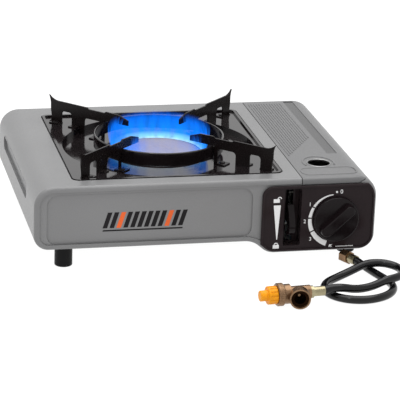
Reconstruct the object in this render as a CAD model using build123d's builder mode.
import os
from math import cos, pi, radians, sin, tan

from build123d import *

# Portable butane camp stove. Millimetres, +X right, +Y back, +Z up.
# The origin is on the ground under the middle of the stove.

# Body
HALF_WIDTH = 171.5
FRONT_Y = -124.0
REAR_Y = 138.0
TOP_Z = 85.0
LOW_LEFT_Z = 20.5
LOW_RIGHT_Z = 7.5
SHEET = 1.0
EDGE_ROLL = 4.0
RING_INSET = 5.5
GAP = 0.8

# Finger grip pressed into the left side
GRIP_CENTRE = (16, 61)
GRIP_LENGTH = 168.0
GRIP_HEIGHT = 14.0
GRIP_DEPTH = 3.0

# Raised rim and sunk field of the front and rear plates
FIELD_CENTRE = (-57, 51)
FIELD_SIZE = (206, 54)
FIELD_DEPTH = 1.6

# Cartridge compartment and lid
WALL_X = 92.0
SEAM_X = 94.3
FRAME_DEPTH = 6.5
CORNER_X = 160.0
HINGE_X = 168.8
HINGE_Z = 50.0
HINGE_RADIUS = 1.6
HINGE_PIN_RADIUS = 0.8
LEAF_THICKNESS = 0.8
HOLE_X = 122.4
HOLE_Y = -79.0
HOLE_RADIUS = 11.6
RIB_COUNT = 13
RIB_FIRST_X = 98.8
RIB_PITCH = 2.9
RIB_FRONT_Y = -52.0
RIB_REAR_Y = 126.0

# Control bezel
BEZEL_LEFT = 54.0
BEZEL_TOP = 78.0
BEZEL_FRONT = -126.5
BEZEL_FIELD = -125.3
BEZEL_RIM = 2.3
KNOB_X = 129.5
KNOB_Z = 42.5
KNOB_RADIUS = 23.0
KNOB_FRONT = -138.0
GRIP_ANGLE = 42.0
RECESS_X = (76.5, 94.0)
RECESS_Z = (15.6, 74.5)
RECESS_BACK = -112.0

# Cartridge lever
LEVER_X = 85.0
LEVER_THICKNESS = 6.0
PIVOT_Y = -92.0
PIVOT_Z = 46.0
FORK_HEIGHT = 14.2
LEVER_PIN_RADIUS = 2.0

# Drip tray, burner and pan supports
TRAY_LEFT = -131.9
TRAY_RIGHT = 80.2
TRAY_FRONT = -105.5
TRAY_REAR = 111.0
TRAY_FLOOR = 83.6
TRAY_LIP = 2.6
TRAY_CLEARANCE = 1.3
DISH_FLOOR = 77.5
DISH_RADIUS = 98.5
BURNER_X = -26.0
BURNER_Y = -1.0
BURNER_HOLE_RADIUS = 51.0
CAP_TOP = 79.0
CAP_RADIUS = 44.0
RING_RADIUS = 66.5
RING_LOW = 83.5
RING_TOP = 97.0
ARM_THICKNESS = 1.6
MIXER_Z = 55.0

# Gas train
CARTRIDGE_X = 131.0
CARTRIDGE_Z = 46.5
CARTRIDGE_RADIUS = 33.8
VALVE_BACK = -100.0
REGULATOR_BACK = -76.0
INLET_Z = 68.0

# Loose gas hose and adapter
HOSE_RADIUS = 4.0
ADAPTER_START = Vector(25, -241.5, 11)
ADAPTER_TURN = 5.2
ADAPTER_LENGTH = 65.0
NUT_ACROSS_FLATS = 11.8
NUT_THREAD_RADIUS = 4.2
HOSE_ROUTE = [
    (89.7, -235.6, 11.0),
    (96.0, -235.2, 13.0),
    (107.0, -235.0, 13.0),
    (122.0, -233.0, 9.5),
    (138.0, -228.5, 9.5),
    (154.0, -222.0, 13.0),
    (170.8, -214.6, 13.0),
    (178.6, -201.0, 12.5),
    (175.9, -185.5, 12.5),
    (163.9, -175.4, 13.0),
    (147.0, -176.5, 13.0),
    (131.0, -181.0, 7.5),
    (115.0, -187.5, 4.2),
    (101.5, -198.5, 4.0),
    (94.5, -214.5, 4.0),
    (98.0, -231.5, 4.0),
    (109.5, -243.0, 4.0),
    (125.5, -247.5, 4.0),
    (142.5, -244.0, 4.0),
    (157.0, -233.5, 4.0),
    (164.5, -218.0, 4.0),
    (163.0, -200.5, 4.0),
    (157.5, -184.0, 4.0),
    (152.5, -168.0, 4.5),
    (145.0, -152.5, 7.0),
]

os.makedirs("parts", exist_ok=True)


def save(part, name):
    """Label a finished piece and write its STEP file."""
    part.label = name
    export_step(part, f"parts/{name}.step")


def upright(y):
    """A sketch plane facing the front, with local x = +X and local y = +Z."""
    return Plane.XZ.offset(-y)


def outline(inset=0.0):
    """The body's end outline, moved inwards."""
    with BuildSketch() as end_view:
        with BuildLine():
            FilletPolyline(
                (-HALF_WIDTH, LOW_LEFT_Z),
                (47, LOW_LEFT_Z),
                (62, LOW_RIGHT_Z),
                (HALF_WIDTH, LOW_RIGHT_Z),
                (HALF_WIDTH, TOP_Z),
                (-HALF_WIDTH, TOP_Z),
                radius=[15, 22, 18, 16, 22, 20],
                close=True,
            )
        make_face()
        if inset:
            offset(amount=-inset, mode=Mode.REPLACE)
    return end_view.sketch


def body_block(inset):
    """The whole body as a solid, moved inwards, with its front and rear edges rolled."""
    with BuildPart() as block:
        with BuildSketch(upright(REAR_Y - inset)):
            add(outline(inset))
        extrude(amount=REAR_Y - FRONT_Y - 2 * inset)
        ends = block.faces().sort_by(Axis.Y)
        fillet(ends[0].edges() + ends[-1].edges(), EDGE_ROLL - inset)
    return block.part


def end_strip(y_from, y_to, margin=0.0):
    """The lid's folded strip over one end, above the bezel and clear of the frame corner."""
    reach = ((CORNER_X - HINGE_X) ** 2 + (82.3 - HINGE_Z) ** 2) ** 0.5
    with BuildPart() as strip:
        with BuildSketch(upright(y_to)):
            with Locations(((SEAM_X - margin + 175) / 2, (BEZEL_TOP + GAP - margin + 90) / 2)):
                Rectangle(175 - SEAM_X + margin, 90 - BEZEL_TOP - GAP + margin)
            with Locations((HINGE_X, HINGE_Z)):
                Circle(reach - margin, mode=Mode.SUBTRACT)
        extrude(amount=y_to - y_from)
    return strip.part


def lid_zone(margin=0.0):
    """The space the lid takes between the front and rear frame corners."""
    low = HINGE_Z + 0.5 if margin == 0 else HINGE_Z - 3.2
    with BuildPart() as zone:
        with BuildSketch(Plane.XY.offset(low)):
            with Locations(((SEAM_X - margin + 175) / 2, (FRONT_Y + REAR_Y) / 2)):
                Rectangle(175 - SEAM_X + margin, REAR_Y - FRONT_Y - 2 * FRAME_DEPTH + 2 * margin)
        extrude(amount=50)
    return zone.part


OUTER = body_block(0)
INNER = body_block(SHEET)


# --- Sheet-metal body ---------------------------------------------------------

with BuildPart() as outer_shell:
    add(OUTER)
    add(INNER, mode=Mode.SUBTRACT)
    with BuildSketch(upright(REAR_Y + 1)):
        add(outline(RING_INSET))
    extrude(amount=REAR_Y - FRONT_Y + 2, mode=Mode.SUBTRACT)
    add(lid_zone(GAP), mode=Mode.SUBTRACT)
    add(end_strip(FRONT_Y - 1, FRONT_Y + FRAME_DEPTH + 1, GAP), mode=Mode.SUBTRACT)
    add(end_strip(REAR_Y - FRAME_DEPTH - 1, REAR_Y + 1, GAP), mode=Mode.SUBTRACT)
    # Opening for the drip tray, with a drawn lip and a ledge the tray rests on
    tray_centre = ((TRAY_LEFT + TRAY_RIGHT) / 2, (TRAY_FRONT + TRAY_REAR) / 2)
    tray_size = (TRAY_RIGHT - TRAY_LEFT, TRAY_REAR - TRAY_FRONT)
    with BuildSketch(Plane.XY.offset(TRAY_FLOOR - 2.6)):
        with Locations(tray_centre):
            RectangleRounded(tray_size[0] + 2, tray_size[1] + 2, 9)
    extrude(amount=TOP_Z - TRAY_FLOOR + 2.6)
    with BuildSketch(Plane.XY.offset(TRAY_FLOOR - 1.6)):
        with Locations(tray_centre):
            RectangleRounded(tray_size[0], tray_size[1], 8)
    extrude(amount=20, mode=Mode.SUBTRACT)
    with BuildSketch(Plane.XY.offset(TRAY_FLOOR - 4)):
        with Locations(tray_centre):
            RectangleRounded(tray_size[0] - 8, tray_size[1] - 8, 5)
    extrude(amount=20, mode=Mode.SUBTRACT)
    # Turned-in bottom flange leaves the underside to the bottom plate
    with BuildSketch(Plane.XY):
        with Locations((-0.5, 7)):
            RectangleRounded(307, 238, 6)
    extrude(amount=24, mode=Mode.SUBTRACT)
    # Long pressed-in finger grip along the side of the burner half
    with BuildSketch(Plane.YZ.offset(-HALF_WIDTH)):
        with Locations(GRIP_CENTRE):
            SlotOverall(GRIP_LENGTH + 2 * SHEET, GRIP_HEIGHT + 2 * SHEET)
    extrude(amount=GRIP_DEPTH + SHEET)
    with BuildSketch(Plane.YZ.offset(-HALF_WIDTH)):
        with Locations(GRIP_CENTRE):
            SlotOverall(GRIP_LENGTH, GRIP_HEIGHT)
    extrude(amount=GRIP_DEPTH, mode=Mode.SUBTRACT)
save(outer_shell.part, "outer_shell")


def end_plate(rim_y, inward):
    """A plate inside one end of the shell; inward is +1 at the front and -1 at the rear."""
    with BuildPart() as plate:
        with BuildSketch(upright(rim_y)):
            add(outline(RING_INSET - 1.1))
        extrude(amount=-inward * SHEET)
        with BuildSketch(upright(rim_y)):
            with Locations(FIELD_CENTRE):
                RectangleRounded(FIELD_SIZE[0], FIELD_SIZE[1], 12)
        extrude(amount=-inward * (FIELD_DEPTH + SHEET))
        with BuildSketch(upright(rim_y)):
            with Locations(FIELD_CENTRE):
                RectangleRounded(FIELD_SIZE[0] - 2, FIELD_SIZE[1] - 2, 11)
        extrude(amount=-inward * FIELD_DEPTH, mode=Mode.SUBTRACT)
        add(end_strip(rim_y - 8, rim_y + 8, GAP), mode=Mode.SUBTRACT)
    return plate


front_plate = end_plate(FRONT_Y + SHEET + 0.4, 1)
with BuildPart() as front_plate_cut:
    add(front_plate.part)
    # Lever recess, knob stem and bezel screw holes
    with BuildSketch(upright(FRONT_Y + 10)):
        with Locations(((RECESS_X[0] + RECESS_X[1]) / 2, (RECESS_Z[0] + RECESS_Z[1]) / 2)):
            Rectangle(RECESS_X[1] - RECESS_X[0] + 3.2, RECESS_Z[1] - RECESS_Z[0] + 3.2)
        with Locations((KNOB_X, KNOB_Z)):
            Circle(6)
        with Locations((62, 70), (160, 70), (160, 20)):
            Circle(1.8)
    extrude(amount=20, mode=Mode.SUBTRACT)
save(front_plate_cut.part, "front_plate")

rear_plate = end_plate(REAR_Y - SHEET - 0.4, -1)
with BuildPart() as rear_plate_cut:
    add(rear_plate.part)
    # Ventilation louvres behind the burner and behind the cartridge
    with BuildSketch(upright(REAR_Y + 2)):
        with Locations((-57, 51)):
            with GridLocations(26, 14, 6, 3):
                SlotOverall(18, 4)
        with Locations((131, 44)):
            with GridLocations(26, 14, 2, 3):
                SlotOverall(18, 4)
    extrude(amount=14, mode=Mode.SUBTRACT)
save(rear_plate_cut.part, "rear_plate")

FOOT_PLACES = {
    "foot_front_left": (-140, -108, LOW_LEFT_Z),
    "foot_rear_left": (-140, 121, LOW_LEFT_Z),
    "foot_front_right": (148, -103, LOW_RIGHT_Z),
    "foot_rear_right": (148, 117, LOW_RIGHT_Z),
}

with BuildPart() as bottom_plate:
    with BuildSketch(upright(REAR_Y - 6)):
        add(outline(SHEET))
    extrude(amount=REAR_Y - FRONT_Y - 12)
    with BuildSketch(upright(REAR_Y)):
        add(outline(2 * SHEET))
    extrude(amount=REAR_Y - FRONT_Y, mode=Mode.SUBTRACT)
    with BuildSketch(Plane.XY):
        with Locations((0, 7)):
            Rectangle(318, 300)
    extrude(amount=24, mode=Mode.INTERSECT)
    # Air intake slots under the burner
    with BuildSketch(Plane.XY.offset(LOW_LEFT_Z - 1)):
        with Locations((BURNER_X - 30, BURNER_Y)):
            with GridLocations(14, 80, 9, 2):
                SlotOverall(60, 5, rotation=90)
    extrude(amount=8, mode=Mode.SUBTRACT)
    with BuildSketch(Plane.XY):
        with Locations(*[(x, y) for x, y, z in FOOT_PLACES.values()]):
            Circle(2.1)
    extrude(amount=30, mode=Mode.SUBTRACT)
save(bottom_plate.part, "bottom_plate")

with BuildPart() as compartment_wall:
    with BuildSketch(Plane.YZ.offset(WALL_X - SHEET)):
        with Locations((12.5, 46.25)):
            Rectangle(239, 73.5)
        with Locations((-89, PIVOT_Z + FORK_HEIGHT)):
            SlotOverall(16, 8, mode=Mode.SUBTRACT)
        with Locations((-54, 36)):
            Circle(4.5, mode=Mode.SUBTRACT)
        with Locations((-44, 24.6)):
            Circle(2.5, mode=Mode.SUBTRACT)
    extrude(amount=SHEET)
    # Top flange carries the strip between the tray and the lid
    with BuildSketch(Plane.XY.offset(TOP_Z - 2 * SHEET)):
        with Locations((WALL_X - 4, 11.5)):
            Rectangle(8, 241)
    extrude(amount=SHEET)
save(compartment_wall.part, "compartment_wall")

# --- Lid and its hinge ----------------------------------------------------------

KNUCKLES = [-100, -50, 0, 50, 100]
KNUCKLE_LENGTH = 48


def knuckles(parity):
    """Hinge barrels of one leaf: every other knuckle along the hinge line."""
    places = [y for index, y in enumerate(KNUCKLES) if index % 2 == parity]
    with BuildPart() as barrels:
        for y in places:
            with BuildSketch(upright(y + 7 + KNUCKLE_LENGTH / 2)):
                with Locations((HINGE_X, HINGE_Z)):
                    Circle(HINGE_RADIUS)
            extrude(amount=KNUCKLE_LENGTH)
    return barrels.part


def leaf(parity, plates):
    """A hinge leaf: its knuckles and flat plates, each given as (x from, x to, z from, z to)."""
    with BuildPart() as strip:
        for x_from, x_to, z_from, z_to in plates:
            with BuildSketch(Plane.YZ.offset(x_from)):
                for index, y in enumerate(KNUCKLES):
                    if index % 2 == parity:
                        with Locations((y + 7, (z_from + z_to) / 2)):
                            Rectangle(KNUCKLE_LENGTH, z_to - z_from)
            extrude(amount=x_to - x_from)
        add(knuckles(parity))
        with BuildSketch(upright(REAR_Y)):
            with Locations((HINGE_X, HINGE_Z)):
                Circle(HINGE_PIN_RADIUS + (0.05 if parity else 0))
        extrude(amount=REAR_Y - FRONT_Y, mode=Mode.SUBTRACT)
    return strip.part


with BuildPart() as lid_space:
    add(lid_zone())
    add(end_strip(FRONT_Y, FRONT_Y + FRAME_DEPTH + 1))
    add(end_strip(REAR_Y - FRAME_DEPTH - 1, REAR_Y))

with BuildPart() as lid:
    add(OUTER)
    add(INNER, mode=Mode.SUBTRACT)
    add(lid_space.part, mode=Mode.INTERSECT)
    with BuildSketch(Plane.XY.offset(TOP_Z - 4)):
        with Locations((HOLE_X, HOLE_Y)):
            Circle(HOLE_RADIUS)
    extrude(amount=8, mode=Mode.SUBTRACT)
    # Lengthwise stiffening ribs and a broad pressed strip beside them
    with BuildSketch(Plane.XY.offset(TOP_Z - 0.2)):
        for step in range(RIB_COUNT):
            front_end = RIB_FRONT_Y + 1.6 * RIB_PITCH * step
            with Locations((RIB_FIRST_X + RIB_PITCH * step, (front_end + RIB_REAR_Y) / 2)):
                SlotOverall(RIB_REAR_Y - front_end, 1.3, rotation=90)
    extrude(amount=0.6)
    with BuildSketch(Plane.XY.offset(TOP_Z - 0.5)):
        with Locations((144.2, 40.5)):
            Rectangle(10.6, 181)
    extrude(amount=1, mode=Mode.SUBTRACT)
save(lid.part, "lid")

# The body's leaf hangs from the inner side of the barrel, so that the lid's edge can swing past
BARREL_INNER_X = HINGE_X - HINGE_RADIUS
WALL_INSIDE_X = HALF_WIDTH - SHEET
BODY_LEAF_PLATES = [
    (BARREL_INNER_X, BARREL_INNER_X + LEAF_THICKNESS, 34, HINGE_Z),
    (BARREL_INNER_X + LEAF_THICKNESS, WALL_INSIDE_X, 34, 42),
]
LID_LEAF_PLATES = [(WALL_INSIDE_X - LEAF_THICKNESS, WALL_INSIDE_X, HINGE_Z - 0.4, 62)]
save(leaf(0, BODY_LEAF_PLATES), "body_hinge_leaf")
save(leaf(1, LID_LEAF_PLATES), "lid_hinge_leaf")

with BuildPart() as hinge_pin:
    with BuildSketch(upright(132)):
        with Locations((HINGE_X, HINGE_Z)):
            Circle(HINGE_PIN_RADIUS)
    extrude(amount=250)
save(hinge_pin.part, "hinge_pin")


# --- Control bezel and knob ------------------------------------------------------

with BuildPart() as control_bezel:
    with BuildSketch(upright(FRONT_Y)) as face:
        add(outline(2.5))
        with Locations(((BEZEL_LEFT + 180) / 2, BEZEL_TOP / 2)):
            Rectangle(180 - BEZEL_LEFT, BEZEL_TOP, mode=Mode.INTERSECT)
        fillet(face.vertices().group_by(Axis.X)[0].sort_by(Axis.Y)[-1], 11)
    extrude(amount=FRONT_Y - BEZEL_FRONT)
    front_edges = control_bezel.faces().sort_by(Axis.Y)[0].edges()
    fillet(front_edges, 1)
    with BuildSketch(upright(BEZEL_FRONT)) as field:
        add(outline(2.5 + BEZEL_RIM))
        with Locations(((BEZEL_LEFT + BEZEL_RIM + 180) / 2, (BEZEL_TOP - BEZEL_RIM) / 2)):
            Rectangle(180 - BEZEL_LEFT - BEZEL_RIM, BEZEL_TOP - BEZEL_RIM, mode=Mode.INTERSECT)
        fillet(field.vertices().group_by(Axis.X)[0].sort_by(Axis.Y)[-1], 9)
    extrude(amount=BEZEL_FRONT - BEZEL_FIELD, mode=Mode.SUBTRACT)
    recess_centre = (sum(RECESS_X) / 2, sum(RECESS_Z) / 2)
    recess_size = (RECESS_X[1] - RECESS_X[0], RECESS_Z[1] - RECESS_Z[0])
    with BuildSketch(upright(RECESS_BACK + 1.2)):
        with Locations(recess_centre):
            Rectangle(recess_size[0] + 2.4, recess_size[1] + 2.4)
    extrude(amount=RECESS_BACK + 1.2 - FRONT_Y)
    with BuildSketch(upright(RECESS_BACK)):
        with Locations(recess_centre):
            RectangleRounded(recess_size[0], recess_size[1], 2)
    extrude(amount=RECESS_BACK - BEZEL_FRONT + 1, mode=Mode.SUBTRACT)
    with BuildSketch(upright(RECESS_BACK + 2)):
        with Locations((LEVER_X, 45)):
            Rectangle(LEVER_THICKNESS + 1.4, 57)
        with Locations((KNOB_X, KNOB_Z)):
            Circle(5)
    extrude(amount=30, mode=Mode.SUBTRACT)
save(control_bezel.part, "control_bezel")

BEZEL_SCREWS = [(62, 70), (160, 70), (160, 20)]
with BuildPart() as bezel_screws:
    with BuildSketch(upright(BEZEL_FIELD + 1.3)):
        with Locations(*BEZEL_SCREWS):
            Circle(1.5)
    extrude(amount=-6)
    with BuildSketch(upright(FRONT_Y + SHEET + 0.4 + SHEET)):
        with Locations(*BEZEL_SCREWS):
            Circle(3)
    extrude(amount=-1.6)
save(bezel_screws.part, "bezel_screws")

with BuildPart() as control_knob:
    with BuildSketch(upright(BEZEL_FIELD - 0.5)):
        with Locations((KNOB_X, KNOB_Z)):
            Circle(KNOB_RADIUS)
    extrude(amount=5)
    fillet(control_knob.faces().sort_by(Axis.Y)[0].edges(), 1.5)
    grip_direction = (cos(radians(GRIP_ANGLE)), 0, sin(radians(GRIP_ANGLE)))
    grip_origin = (KNOB_X, BEZEL_FIELD - 4, KNOB_Z)
    with BuildSketch(Plane(origin=grip_origin, x_dir=grip_direction, z_dir=(0, -1, 0))):
        SlotOverall(2 * KNOB_RADIUS - 3, 13)
    extrude(amount=BEZEL_FIELD - 4 - KNOB_FRONT, taper=9)
    fillet(control_knob.faces().sort_by(Axis.Y)[0].edges(), 1.2)
save(control_knob.part, "control_knob")

with BuildPart() as valve_stem:
    with BuildSketch(upright(-104)):
        with Locations((KNOB_X, KNOB_Z)):
            Circle(3)
    extrude(amount=-BEZEL_FIELD - 0.5 - 104)
save(valve_stem.part, "valve_stem")


# --- Cartridge lever, slider and cradle ------------------------------------------

with BuildPart() as cartridge_lever:
    with BuildSketch(Plane.YZ.offset(LEVER_X - LEVER_THICKNESS / 2)):
        # Hub, arm to the handle and the curved handle itself
        with Locations((PIVOT_Y, PIVOT_Z)):
            Circle(6)
        with BuildLine():
            Polyline((-122, 36), (-92, 41), (-92, 51), (-122, 47), close=True)
        make_face()
        with BuildLine():
            Spline((-116, 24), (-128, 34), (-125, 45), (-117, 56))
            Line((-117, 56), (-113.5, 54))
            Spline((-113.5, 54), (-119.5, 44), (-121, 36), (-113, 26.5))
            Line((-113, 26.5), (-116, 24))
        make_face()
        # Forked arm that moves the slider's pin
        with Locations((PIVOT_Y, PIVOT_Z + 11)):
            Rectangle(9, 22)
        with Locations((PIVOT_Y, PIVOT_Z + FORK_HEIGHT + 3)):
            Rectangle(4.4, 14, mode=Mode.SUBTRACT)
        with Locations((PIVOT_Y, PIVOT_Z)):
            Circle(LEVER_PIN_RADIUS + 0.05, mode=Mode.SUBTRACT)
    extrude(amount=LEVER_THICKNESS)
save(cartridge_lever.part, "cartridge_lever")

with BuildPart() as lever_bracket:
    # U bracket on the compartment wall with the pivot pin through it
    for x in (LEVER_X - LEVER_THICKNESS / 2 - 1.7, LEVER_X + LEVER_THICKNESS / 2 + 0.5):
        with BuildSketch(Plane.YZ.offset(x)):
            with Locations((PIVOT_Y + 2, PIVOT_Z - 5)):
                Rectangle(16, 22)
            with Locations((PIVOT_Y, PIVOT_Z)):
                Circle(LEVER_PIN_RADIUS, mode=Mode.SUBTRACT)
        extrude(amount=1.2)
    with BuildSketch(Plane.XY.offset(PIVOT_Z - 17.2)):
        with Locations(((LEVER_X - 4.7 + WALL_X - SHEET) / 2, PIVOT_Y + 2)):
            Rectangle(WALL_X - SHEET - LEVER_X + 4.7, 16)
    extrude(amount=1.2)
save(lever_bracket.part, "lever_bracket")

with BuildPart() as lever_pivot:
    with BuildSketch(Plane.YZ.offset(LEVER_X - 4.7)):
        with Locations((PIVOT_Y, PIVOT_Z)):
            Circle(LEVER_PIN_RADIUS)
    extrude(amount=9.4)
save(lever_pivot.part, "lever_pivot")

with BuildPart() as cartridge_slider:
    # Long strip under the cartridge, a push plate behind it and an arm beside the wall
    with BuildSketch(Plane.XY.offset(10.2)):
        with Locations((CARTRIDGE_X, 28)):
            Rectangle(16, 194)
        with Locations((109, -66)):
            Rectangle(28, 6)
    extrude(amount=1.2)
    with BuildSketch(upright(125)):
        with Locations((CARTRIDGE_X, 30)):
            RectangleRounded(30, 39.6, 3)
    extrude(amount=1.4)
    with BuildSketch(Plane.YZ.offset(WALL_X + 2.5)):
        with Locations((-75, 37)):
            Rectangle(20, 53.6)
        with Locations((PIVOT_Y + 2.5, PIVOT_Z + FORK_HEIGHT)):
            Rectangle(15, 7)
    extrude(amount=1.2)
    with BuildSketch(Plane.YZ.offset(LEVER_X - 2.5)):
        with Locations((PIVOT_Y, PIVOT_Z + FORK_HEIGHT)):
            Circle(1.6)
    extrude(amount=WALL_X + 3 - LEVER_X + 2.5)
save(cartridge_slider.part, "cartridge_slider")

with BuildPart() as cartridge_cradle:
    # Floor plate with two saddles the cartridge lies on
    with BuildSketch(Plane.XY.offset(LOW_RIGHT_Z + 2 * SHEET)):
        with Locations((CARTRIDGE_X - 2, 27.5)):
            Rectangle(52, 163)
        with Locations((CARTRIDGE_X, 24)):
            Rectangle(16.8, 200, mode=Mode.SUBTRACT)
    extrude(amount=1)
    for y in (-34, 100):
        with BuildSketch(upright(y)):
            with Locations((CARTRIDGE_X, 18)):
                Rectangle(56, 15.4)
            with Locations((CARTRIDGE_X, CARTRIDGE_Z)):
                Circle(CARTRIDGE_RADIUS, mode=Mode.SUBTRACT)
            with Locations((CARTRIDGE_X, 11)):
                Rectangle(16.8, 8, mode=Mode.SUBTRACT)
        extrude(amount=1.2)
save(cartridge_cradle.part, "cartridge_cradle")


# --- Regulator, valve and gas train -----------------------------------------------

with BuildPart() as valve_body:
    with BuildSketch(upright(VALVE_BACK)):
        with Locations((KNOB_X, KNOB_Z)):
            RectangleRounded(30, 26, 4)
    extrude(amount=VALVE_BACK + 121.4)
    with BuildSketch(upright(-103.9)):
        with Locations((KNOB_X, KNOB_Z)):
            Circle(3.05)
    extrude(amount=30, mode=Mode.SUBTRACT)
    with BuildSketch(Plane.YZ.offset(KNOB_X - 20)):
        with Locations((-108, 36)):
            RegularPolygon(5, 6)
    extrude(amount=6)
    with BuildSketch(Plane.YZ.offset(KNOB_X - 21)):
        with Locations((-108, 36)):
            Circle(2.5)
    extrude(amount=8, mode=Mode.SUBTRACT)
save(valve_body.part, "valve_body")

REGULATOR = (KNOB_X, CARTRIDGE_Z)
with BuildPart() as regulator_body:
    with BuildSketch(upright(REGULATOR_BACK)):
        with Locations(REGULATOR):
            Circle(20)
    extrude(amount=12)
    with BuildSketch(upright(REGULATOR_BACK - 2)):
        with Locations(REGULATOR):
            Circle(17.4)
    extrude(amount=12, mode=Mode.SUBTRACT)
    with BuildSketch(upright(REGULATOR_BACK)):
        with Locations(REGULATOR):
            Circle(6.4, mode=Mode.ADD)
    extrude(amount=2)
    # Boss that takes the propane inlet
    with BuildSketch(Plane.XY.offset(INLET_Z - 4.5)):
        with Locations((HOLE_X, HOLE_Y)):
            Circle(5)
    extrude(amount=4.5)
save(regulator_body.part, "regulator_body")

with BuildPart() as regulator_diaphragm:
    with BuildSketch(upright(REGULATOR_BACK - 5)):
        with Locations(REGULATOR):
            Circle(17.2)
    extrude(amount=1)
save(regulator_diaphragm.part, "regulator_diaphragm")

with BuildPart() as regulator_spring:
    with BuildLine():
        coil = Helix(pitch=1.9, height=7.6, radius=4.5, center=(0, 0, 0))
    with BuildSketch(Plane(origin=coil @ 0, z_dir=coil % 0)):
        Circle(0.5)
    sweep()
SPRING_PLACE = Location((KNOB_X, REGULATOR_BACK - 7, CARTRIDGE_Z), (90, 0, 0))
save(regulator_spring.part.moved(SPRING_PLACE), "regulator_spring")

with BuildPart() as regulator_cap:
    with BuildSketch(upright(REGULATOR_BACK - 12)):
        with Locations(REGULATOR):
            Circle(20)
    extrude(amount=REGULATOR_BACK - 12 - VALVE_BACK)
    with BuildSketch(upright(REGULATOR_BACK - 12)):
        with Locations(REGULATOR):
            Circle(8)
    extrude(amount=6, mode=Mode.SUBTRACT)
save(regulator_cap.part, "regulator_cap")

with BuildPart() as cartridge_connector:
    with BuildSketch(upright(REGULATOR_BACK + 9)):
        with Locations(REGULATOR):
            Circle(9)
    extrude(amount=9)
    with BuildSketch(upright(REGULATOR_BACK + 10)):
        with Locations(REGULATOR):
            Circle(6)
    extrude(amount=7, mode=Mode.SUBTRACT)
    with BuildSketch(upright(REGULATOR_BACK + 4)):
        with Locations(REGULATOR):
            Circle(4.5)
    extrude(amount=3, mode=Mode.SUBTRACT)
save(cartridge_connector.part, "cartridge_connector")

with BuildPart() as connector_seal:
    with BuildSketch(upright(REGULATOR_BACK + 1.2)):
        with Locations(REGULATOR):
            Circle(4.4)
            Circle(2.2, mode=Mode.SUBTRACT)
    extrude(amount=-1.6)
save(connector_seal.part, "connector_seal")

with BuildPart() as propane_inlet:
    with BuildSketch(Plane.XY.offset(INLET_Z)):
        with Locations((HOLE_X, HOLE_Y)):
            RegularPolygon(7.5, 6)
    extrude(amount=3)
    with BuildSketch(Plane.XY.offset(INLET_Z + 3)):
        with Locations((HOLE_X, HOLE_Y)):
            Circle(4.2)
    extrude(amount=6.5)
    with BuildSketch(Plane.XY.offset(INLET_Z + 2)):
        with Locations((HOLE_X, HOLE_Y)):
            Circle(1.6)
    extrude(amount=10, mode=Mode.SUBTRACT)
save(propane_inlet.part, "propane_inlet")

PIPE_ROUTE = [
    (KNOB_X - 16, -108, 36),
    (101, -108, 36),
    (101, -54, 36),
    (84, -54, 36),
    (84, -30, MIXER_Z),
    (84, BURNER_Y, MIXER_Z),
    (79, BURNER_Y, MIXER_Z),
]
with BuildPart() as gas_pipe:
    with BuildLine() as pipe_path:
        FilletPolyline(*PIPE_ROUTE, radius=[8, 8, 8, 8, 4])
    with BuildSketch(Plane(origin=pipe_path.line @ 0, z_dir=pipe_path.line % 0)):
        Circle(2.4)
    sweep()
save(gas_pipe.part, "gas_pipe")

along_mixer = Plane.YZ
with BuildPart() as gas_jet:
    with BuildSketch(along_mixer.offset(70)):
        with Locations((BURNER_Y, MIXER_Z)):
            RegularPolygon(5, 6)
    extrude(amount=9)
    with BuildSketch(along_mixer.offset(66)):
        with Locations((BURNER_Y, MIXER_Z)):
            Circle(2.6)
    extrude(amount=4)
save(gas_jet.part, "gas_jet")

with BuildPart() as jet_bracket:
    with BuildSketch(along_mixer.offset(68)):
        with Locations((BURNER_Y, MIXER_Z - 14)):
            Rectangle(22, 42)
        with Locations((BURNER_Y, MIXER_Z)):
            Circle(2.7, mode=Mode.SUBTRACT)
        with Locations((BURNER_Y - 7, MIXER_Z), (BURNER_Y + 7, MIXER_Z)):
            Circle(2, mode=Mode.SUBTRACT)
    extrude(amount=1.5)
save(jet_bracket.part, "jet_bracket")

with BuildPart() as mixing_tube:
    with BuildSketch(along_mixer.offset(BURNER_X + 24)):
        with Locations((BURNER_Y, MIXER_Z)):
            Circle(8)
    extrude(amount=68 - BURNER_X - 24)
    with BuildSketch(along_mixer.offset(60)):
        with Locations((BURNER_Y, MIXER_Z)):
            Circle(10)
    extrude(amount=8)
    with BuildSketch(along_mixer.offset(BURNER_X + 20)):
        with Locations((BURNER_Y, MIXER_Z)):
            Circle(6.8)
    extrude(amount=60, mode=Mode.SUBTRACT)
    with BuildSketch(along_mixer.offset(50)):
        with Locations((BURNER_Y, MIXER_Z)):
            Circle(6)
    extrude(amount=20, mode=Mode.SUBTRACT)
save(mixing_tube.part, "mixing_tube")

with BuildPart() as burner_base:
    with BuildSketch(Plane.XZ) as bowl:
        with BuildLine():
            Polyline((0, 45), (22, 45), (24, 48), (24, 63), (38, 68), (38, 71), (0, 71), close=True)
        make_face()
        with BuildLine():
            Polyline((0, 47.5), (21, 47.5), (21, 65), (34, 69), (34, 72), (0, 72), close=True)
        make_face(mode=Mode.SUBTRACT)
    revolve(axis=Axis.Z)
BURNER_PLACE = Location((BURNER_X, BURNER_Y, 0))
with BuildPart() as burner_base_bored:
    add(burner_base.part.moved(BURNER_PLACE))
    with BuildSketch(along_mixer.offset(BURNER_X + 18)):
        with Locations((BURNER_Y, MIXER_Z)):
            Circle(6.8)
    extrude(amount=8, mode=Mode.SUBTRACT)
save(burner_base_bored.part, "burner_base")

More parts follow.
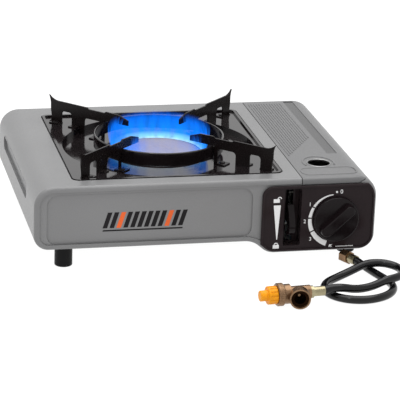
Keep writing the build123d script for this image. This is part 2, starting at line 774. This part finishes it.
with BuildPart() as burner_ring:
    with BuildSketch(Plane.XY.offset(71)):
        with Locations((BURNER_X, BURNER_Y)):
            Circle(CAP_RADIUS - 1)
            Circle(33, mode=Mode.SUBTRACT)
    extrude(amount=5)
    with BuildSketch(Plane.XY.offset(72.5)):
        with Locations((BURNER_X, BURNER_Y)):
            with PolarLocations(CAP_RADIUS - 3, 48):
                Rectangle(9, 1.4)
    extrude(amount=5, mode=Mode.SUBTRACT)
save(burner_ring.part, "burner_ring")

with BuildPart() as burner_cap:
    with BuildSketch(Plane.XZ):
        with BuildLine():
            Polyline((0, 76), (CAP_RADIUS, 76), (CAP_RADIUS, 77))
            ThreePointArc((CAP_RADIUS, 77), (CAP_RADIUS - 3, 78.6), (CAP_RADIUS - 8, CAP_TOP))
            Polyline((CAP_RADIUS - 8, CAP_TOP), (16, CAP_TOP), (13, CAP_TOP - 1.2), (0, CAP_TOP - 1.2))
            Line((0, CAP_TOP - 1.2), (0, 76))
        make_face()
    revolve(axis=Axis.Z)
save(burner_cap.part.moved(BURNER_PLACE), "burner_cap")

with BuildPart() as burner_bracket:
    with BuildSketch(Plane.XY.offset(LOW_LEFT_Z + 2 * SHEET)):
        with Locations((BURNER_X, BURNER_Y)):
            Rectangle(90, 26)
    extrude(amount=1.2)
    for x in (BURNER_X - 26, BURNER_X + 24.8):
        with BuildSketch(along_mixer.offset(x)):
            with Locations((BURNER_Y, 42.85)):
                Rectangle(26, 40.7)
            with Locations((BURNER_Y, MIXER_Z)):
                Circle(8.1, mode=Mode.SUBTRACT)
        extrude(amount=1.2)
save(burner_bracket.part, "burner_bracket")

with BuildPart() as piezo_igniter:
    with BuildSketch(upright(VALVE_BACK)):
        with Locations((KNOB_X, KNOB_Z - 21)):
            RectangleRounded(18, 14, 2)
    extrude(amount=20)
save(piezo_igniter.part, "piezo_igniter")

ELECTRODE = (BURNER_X + 34, BURNER_Y - 34)
with BuildPart() as igniter_electrode:
    with BuildSketch(Plane.XY.offset(52)):
        with Locations(ELECTRODE):
            Circle(2.6)
    extrude(amount=20)
    with BuildSketch(Plane.XY.offset(72)):
        with Locations(ELECTRODE):
            Circle(0.9)
    extrude(amount=9)
save(igniter_electrode.part, "igniter_electrode")

LEAD_ROUTE = [
    (KNOB_X - 9, -110, KNOB_Z - 21),
    (108, -110, KNOB_Z - 21),
    (98, -98, 24),
    (98, -44, 24),
    (76, -44, 26),
    (30, -50, 28),
    (ELECTRODE[0], ELECTRODE[1], 34),
    (ELECTRODE[0], ELECTRODE[1], 52),
]
with BuildPart() as ignition_lead:
    with BuildLine() as lead_path:
        FilletPolyline(*LEAD_ROUTE, radius=[5, 6, 6, 6, 10, 5])
    with BuildSketch(Plane(origin=lead_path.line @ 0, z_dir=lead_path.line % 0)):
        Circle(1.1)
    sweep()
save(ignition_lead.part, "ignition_lead")


# --- Feet ---------------------------------------------------------------------------

for name, (foot_x, foot_y, foot_top) in FOOT_PLACES.items():
    with BuildPart() as foot:
        with BuildSketch(Plane.XY):
            with Locations((foot_x, foot_y)):
                Circle(8.8)
        extrude(amount=foot_top)
        fillet(foot.faces().sort_by(Axis.Z)[0].edges(), 1)
        with BuildSketch(Plane.XY):
            with Locations((foot_x, foot_y)):
                Circle(4.6)
        extrude(amount=foot_top - 3, mode=Mode.SUBTRACT)
        with BuildSketch(Plane.XY):
            with Locations((foot_x, foot_y)):
                Circle(2.1)
        extrude(amount=foot_top, mode=Mode.SUBTRACT)
    save(foot.part, name)

with BuildPart() as foot_screws:
    for foot_x, foot_y, foot_top in FOOT_PLACES.values():
        with BuildSketch(Plane.XY.offset(foot_top - 5.2)):
            with Locations((foot_x, foot_y)):
                Circle(3.8)
        extrude(amount=2.2)
        with BuildSketch(Plane.XY.offset(foot_top - 3)):
            with Locations((foot_x, foot_y)):
                Circle(2)
        extrude(amount=9)
save(foot_screws.part, "foot_screws")


# --- Lift-off drip tray with the pan supports -----------------------------------------

rim_size = (tray_size[0] - 2 * TRAY_CLEARANCE, tray_size[1] - 2 * TRAY_CLEARANCE)
with BuildPart() as drip_tray:
    with BuildSketch(Plane.XY.offset(TRAY_FLOOR - 1.2)):
        with Locations(tray_centre):
            RectangleRounded(rim_size[0], rim_size[1], 7)
    extrude(amount=TOP_Z + 0.6 - TRAY_FLOOR + 1.2)
    with BuildSketch(Plane.XY.offset(TRAY_FLOOR)):
        with Locations(tray_centre):
            RectangleRounded(rim_size[0] - 2 * TRAY_LIP, rim_size[1] - 2 * TRAY_LIP, 5)
    extrude(amount=20, mode=Mode.SUBTRACT)
    with BuildSketch(Plane.XY.offset(DISH_FLOOR - 1)):
        with Locations((BURNER_X, BURNER_Y)):
            Circle(DISH_RADIUS + 1)
    extrude(amount=TRAY_FLOOR - DISH_FLOOR + 1)
    with BuildSketch(Plane.XY.offset(DISH_FLOOR)):
        with Locations((BURNER_X, BURNER_Y)):
            Circle(DISH_RADIUS)
    extrude(amount=20, mode=Mode.SUBTRACT)
    with BuildSketch(Plane.XY.offset(DISH_FLOOR - 1)):
        with Locations((BURNER_X, BURNER_Y)):
            Circle(BURNER_HOLE_RADIUS + 1)
    extrude(amount=2)
    with BuildSketch(Plane.XY.offset(DISH_FLOOR - 2)):
        with Locations((BURNER_X, BURNER_Y)):
            Circle(BURNER_HOLE_RADIUS)
    extrude(amount=8, mode=Mode.SUBTRACT)
save(drip_tray.part, "drip_tray")

RING_INSIDE = RING_RADIUS - 1
roll_start = (RING_RADIUS, RING_TOP - 1.2)
roll_end = (RING_RADIUS - 2.2, RING_TOP - 1.2)
with BuildPart() as wind_ring:
    with BuildSketch(Plane.XZ):
        with BuildLine():
            Polyline((RING_INSIDE, RING_LOW), (RING_RADIUS, RING_LOW), roll_start)
            ThreePointArc(roll_start, (RING_RADIUS - 1.1, RING_TOP), roll_end)
            Polyline(roll_end, (RING_INSIDE, RING_TOP - 1.8), (RING_INSIDE, RING_LOW))
        make_face()
    revolve(axis=Axis.Z)
save(wind_ring.part.moved(BURNER_PLACE), "wind_ring")


# Distance out along the arm, distance to its side, and the floor it stands on
RIVET_PLACES = [(127, 4.4, TRAY_FLOOR), (73.5, 6, DISH_FLOOR)]


def support_arm():
    """A stamped pan support in the XZ plane, measured outwards from the burner's axis."""
    with BuildPart() as arm:
        with BuildSketch(Plane.XZ.offset(ARM_THICKNESS / 2)):
            with BuildLine():
                # Finger over the ring, the two steps of the top edge, and the horn at the outer end
                Polyline((38, 97), (38, 102.3), (50, 106.3), (66, 106.8), (68, 105.2))
                Polyline((68, 105.2), (88, 105.2), (90, 106.8), (128, 107))
                Spline((128, 107), (131.4, 107.7), (135.5, 109.6), (138.5, 112))
                Spline((138.5, 112), (136.2, 104), (136, 97), (136.8, 84), (138.2, TRAY_FLOOR))
                Polyline((138.2, TRAY_FLOOR), (98.3, TRAY_FLOOR), (98.3, DISH_FLOOR))
                Polyline((98.3, DISH_FLOOR), (67.5, DISH_FLOOR), (67.5, 97), (38, 97))
            make_face()
            # Windows run down between the three feet
            with Locations((115.5, 85)):
                RectangleRounded(13, 24, 3.5, mode=Mode.SUBTRACT)
            with Locations((82, 80)):
                RectangleRounded(22, 30, 4, mode=Mode.SUBTRACT)
        extrude(amount=-ARM_THICKNESS)
        # Bent tabs that the rivets go through
        with BuildSketch(Plane.XY.offset(TRAY_FLOOR)):
            with Locations((127, 4)):
                Rectangle(12, 8)
            with Locations((104, 4)):
                Rectangle(9, 8)
        extrude(amount=1.2)
        with BuildSketch(Plane.XY.offset(DISH_FLOOR)):
            with Locations((73.5, 5.5)):
                Rectangle(12, 11)
        extrude(amount=1.2)
        with BuildSketch(Plane.XY):
            with Locations(*[(reach, side) for reach, side, floor in RIVET_PLACES]):
                Circle(1.7)
        extrude(amount=90, mode=Mode.SUBTRACT)
    return arm.part


ARM_NAMES = {
    "support_arm_rear_right": 45,
    "support_arm_rear_left": 135,
    "support_arm_front_left": 225,
    "support_arm_front_right": 315,
}
ARM = support_arm()
for name, turn in ARM_NAMES.items():
    save(ARM.moved(Location((BURNER_X, BURNER_Y, 0), (0, 0, turn))), name)

with BuildPart() as one_arm_rivets:
    for reach, side, floor in RIVET_PLACES:
        with BuildSketch(Plane.XY.offset(floor + 1.2)):
            with Locations((reach, side)):
                Circle(3)
        extrude(amount=1.2, taper=20)
        with BuildSketch(Plane.XY.offset(floor)):
            with Locations((reach, side)):
                Circle(1.6)
        extrude(amount=1.2)
with BuildPart() as arm_rivets:
    for turn in ARM_NAMES.values():
        add(one_arm_rivets.part.moved(Location((BURNER_X, BURNER_Y, 0), (0, 0, turn))))
save(arm_rivets.part, "arm_rivets")


# --- Loose gas adapter and hose --------------------------------------------------------

ADAPTER_AXIS = Vector(cos(radians(ADAPTER_TURN)), sin(radians(ADAPTER_TURN)), 0)


def adapter_plane(distance):
    """A sketch plane across the adapter's axis, at a distance from its orange tip."""
    return Plane(origin=ADAPTER_START + ADAPTER_AXIS * distance, x_dir=(0, 0, 1), z_dir=ADAPTER_AXIS)


def add_disc(start, end, radius):
    """Add a round step of the adapter between two distances along its axis."""
    with BuildSketch(adapter_plane(start)) as disc:
        Circle(radius)
    extrude(disc.sketch, amount=end - start)


with BuildPart() as adapter_cap:
    add_disc(0, 7.4, 5.2)
    add_disc(7.4, 16.5, 8.7)
    fillet(adapter_cap.edges().filter_by(GeomType.CIRCLE), 0.8)
    with BuildSketch(adapter_plane(9)):
        with PolarLocations(8.9, 14):
            Circle(0.8)
    extrude(amount=7.5, mode=Mode.SUBTRACT)
save(adapter_cap.part, "adapter_cap")

with BuildPart() as adapter_collar:
    add_disc(16.5, 23, 11)
    chamfer(adapter_collar.edges().filter_by(GeomType.CIRCLE), 0.8)
    with BuildSketch(adapter_plane(16)):
        with PolarLocations(11.2, 40):
            Circle(0.45)
    extrude(amount=8, mode=Mode.SUBTRACT)
save(adapter_collar.part, "adapter_collar")

SOCKET_BASE = ADAPTER_START + ADAPTER_AXIS * 39
SOCKET_DIRECTION = Vector(-0.16, -0.987, 0).normalized()
SOCKET_LENGTH = 17.0
socket_mouth = Plane(origin=SOCKET_BASE + SOCKET_DIRECTION * SOCKET_LENGTH, z_dir=SOCKET_DIRECTION)
with BuildPart() as adapter_body:
    add_disc(23, 29.6, 9.5)
    add_disc(29.6, 50, 7)
    with BuildSketch(socket_mouth):
        Circle(10)
    extrude(amount=-9)
    with BuildSketch(socket_mouth.offset(-9)):
        Circle(7.5)
    extrude(amount=-8)
    with BuildSketch(socket_mouth):
        Circle(8.6)
    extrude(amount=-2.5, mode=Mode.SUBTRACT)
    with BuildSketch(socket_mouth):
        Circle(5.56)
    extrude(amount=-11, mode=Mode.SUBTRACT)
    # Narrower well at the bottom with the pin that opens the cartridge's valve
    with BuildSketch(socket_mouth):
        Circle(3.4)
    extrude(amount=-14, mode=Mode.SUBTRACT)
    with BuildSketch(socket_mouth.offset(-14.5)):
        Circle(1.2)
    extrude(amount=3.2)
save(adapter_body.part, "adapter_body")

with BuildPart() as adapter_ferrule:
    add_disc(50, 53, 6)
    add_disc(53, ADAPTER_LENGTH, 4.7)
    fillet(adapter_ferrule.edges().filter_by(GeomType.CIRCLE).sort_by(Axis.X)[-1], 0.6)
save(adapter_ferrule.part, "adapter_ferrule")


def bend_radii(route):
    """The largest arc each corner of the route has room for: 0.45 of its shorter run."""
    points = [Vector(*place) for place in route]
    radii = []
    for before, corner, after in zip(points, points[1:], points[2:]):
        turn = (corner - before).get_angle(after - corner)
        shorter = min((corner - before).length, (after - corner).length)
        radii.append(0.45 * shorter / tan(radians(turn / 2)))
    return radii


HOSE_RADII = bend_radii(HOSE_ROUTE)
with BuildPart() as hose:
    with BuildLine() as hose_path:
        FilletPolyline(*HOSE_ROUTE, radius=HOSE_RADII)
    with BuildSketch(Plane(origin=hose_path.line @ 0, z_dir=hose_path.line % 0)):
        Circle(HOSE_RADIUS)
    sweep()
save(hose.part, "hose")

END_PLACE = Vector(*HOSE_ROUTE[-1])
END_AXIS = Vector(-0.457, 0.889, 0).normalized()


def end_plane(distance):
    """A sketch plane across the swivel fitting, at a distance from the end of the hose."""
    return Plane(origin=END_PLACE + END_AXIS * distance, x_dir=(0, 0, 1), z_dir=END_AXIS)


with BuildPart() as end_ferrule:
    with BuildSketch(end_plane(0)):
        Circle(4.8)
    extrude(amount=9)
    with BuildSketch(end_plane(9)):
        Circle(3)
    extrude(amount=6)
    with BuildSketch(end_plane(12.2)):
        Circle(4)
    extrude(amount=2.8)
    with BuildSketch(end_plane(6)):
        Circle(1.5)
    extrude(amount=12, mode=Mode.SUBTRACT)
save(end_ferrule.part, "end_ferrule")

with BuildPart() as swivel_nut:
    with BuildSketch(end_plane(9.4)):
        RegularPolygon(NUT_ACROSS_FLATS / 2, 6, major_radius=False)
    extrude(amount=9.6)
    with BuildSketch(end_plane(9)):
        Circle(3.06)
    extrude(amount=12, mode=Mode.SUBTRACT)
    with BuildSketch(end_plane(11.9)):
        Circle(4.6)
    extrude(amount=3.4, mode=Mode.SUBTRACT)
    with BuildSketch(end_plane(15)):
        Circle(NUT_THREAD_RADIUS)
    extrude(amount=6, mode=Mode.SUBTRACT)
save(swivel_nut.part, "swivel_nut")

print("hose bend radii", [round(value, 1) for value in HOSE_RADII])
hose_length = sum(edge.length for edge in hose_path.edges())
swept_volume = pi * HOSE_RADIUS**2 * hose_length
print("hose length", round(hose_length, 1))
print("hose volume over section times length", round(hose.part.volume / swept_volume, 4))
